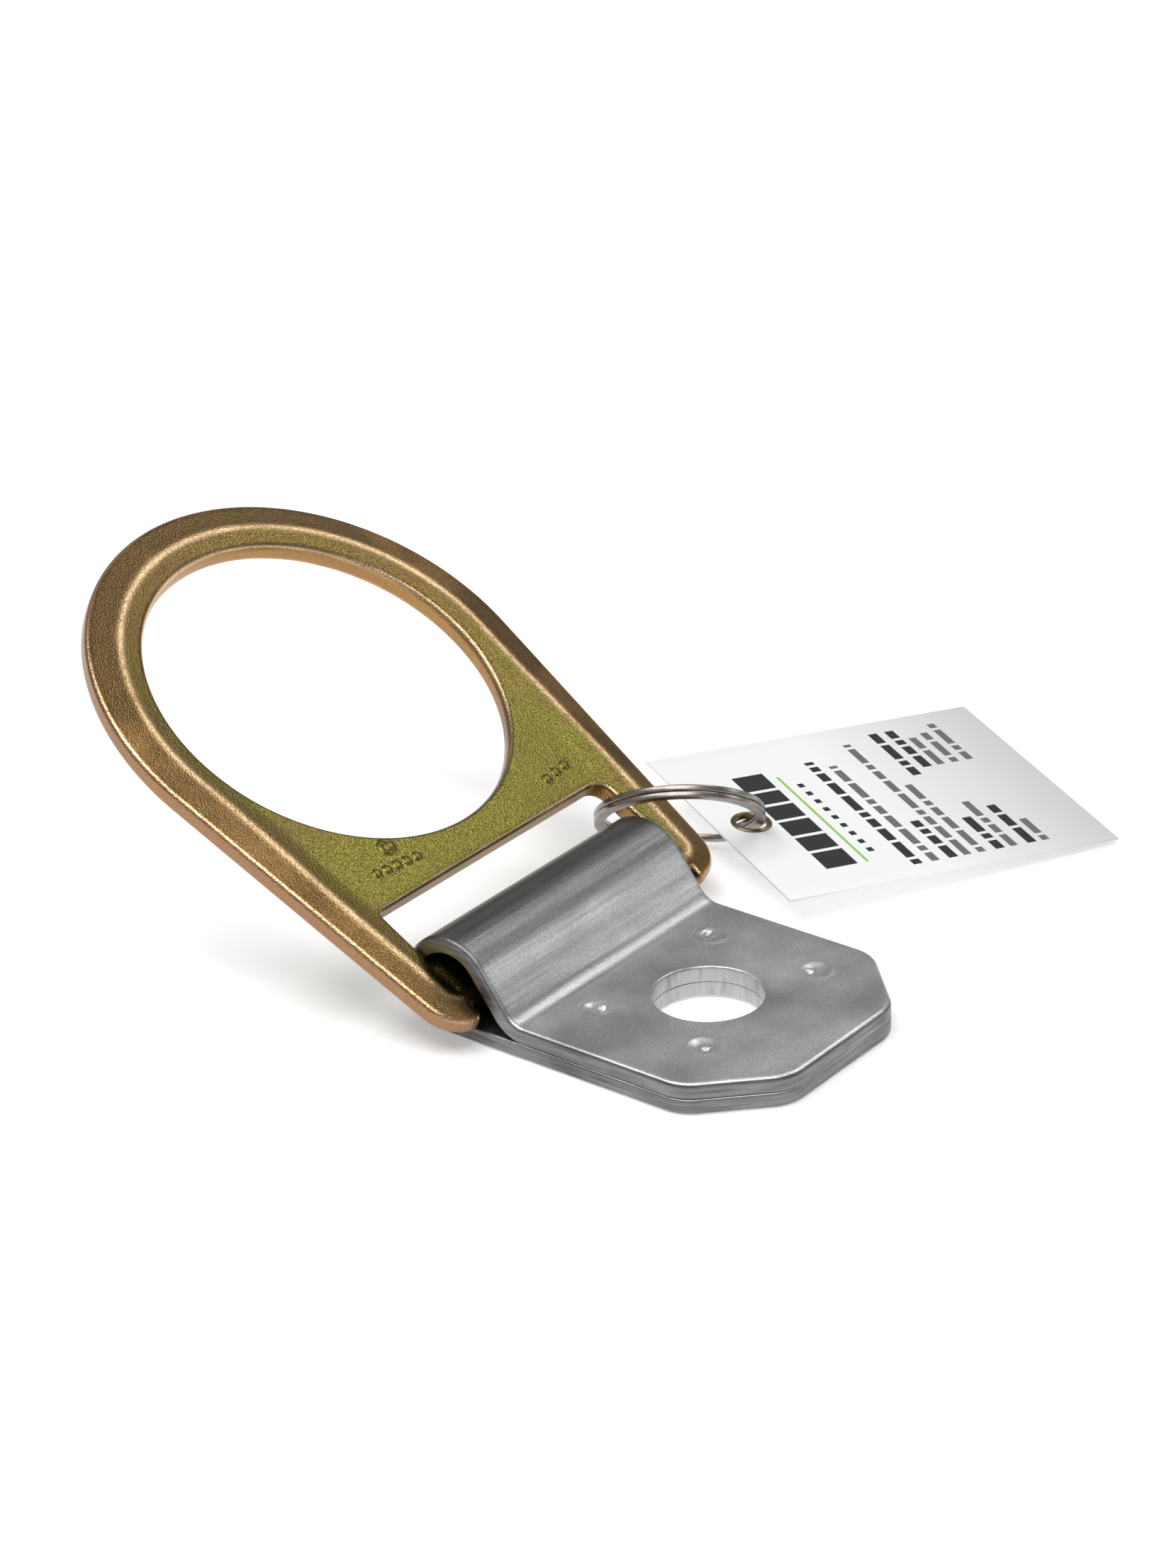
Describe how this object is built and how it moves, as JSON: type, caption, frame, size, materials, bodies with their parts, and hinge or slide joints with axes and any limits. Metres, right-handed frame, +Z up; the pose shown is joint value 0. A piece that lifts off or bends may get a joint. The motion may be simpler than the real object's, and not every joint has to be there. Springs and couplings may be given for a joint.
{
  "type": "roof anchor",
  "caption": "Bolt-down roof anchor: a folded steel strap holds a hinged forged D-ring with a round eye, with a split ring and a label card on its leg.",
  "frame": {"origin": "bolt hole's axis in the strap's bottom face, which lies on the roof", "axes": "+Z up along the bolt hole, +X from the loop to the nose, Y along the loop and the D-ring's hinge"},
  "size_m": [0.1384, 0.1474, 0.056],
  "materials": {
    "folded_strap": "zinc-plated sheet steel, satin",
    "spot_welds": "fused steel",
    "d_ring": "yellow-zinc forging, fine blasted grain",
    "split_ring": "nickel-plated spring steel",
    "tag_card": "printed white card",
    "tag_eyelet": "antique brass"
  },
  "bodies": {
    "bracket": {"folded_strap": "folded_strap", "spot_welds": "spot_welds"},
    "ring": {"d_ring": "d_ring"},
    "split_ring_body": {"split_ring": "split_ring"},
    "tag": {"tag_card": "tag_card", "tag_eyelet": "tag_eyelet"}
  },
  "joints": [
    {"name": "ring_hinge", "type": "hinge", "parent": "bracket", "child": "ring", "pos_m": [-0.0309, 0, 0.0083], "axis": [0, 1, 0], "range_deg": [-33.5, 150]},
    {"name": "split_ring_swing", "type": "hinge", "parent": "ring", "child": "split_ring_body", "pos_m": [-0.03568, 0.034, 0.01103], "axis": [-0.8634, 0.1045, 0.4935], "range_deg": [0, 45]},
    {"name": "tag_swing", "type": "hinge", "parent": "split_ring_body", "child": "tag", "pos_m": [-0.02678, 0.04817, 0.00688], "axis": [-0.7266, 0.2609, -0.6356], "range_deg": [-35, 40]}
  ]
}
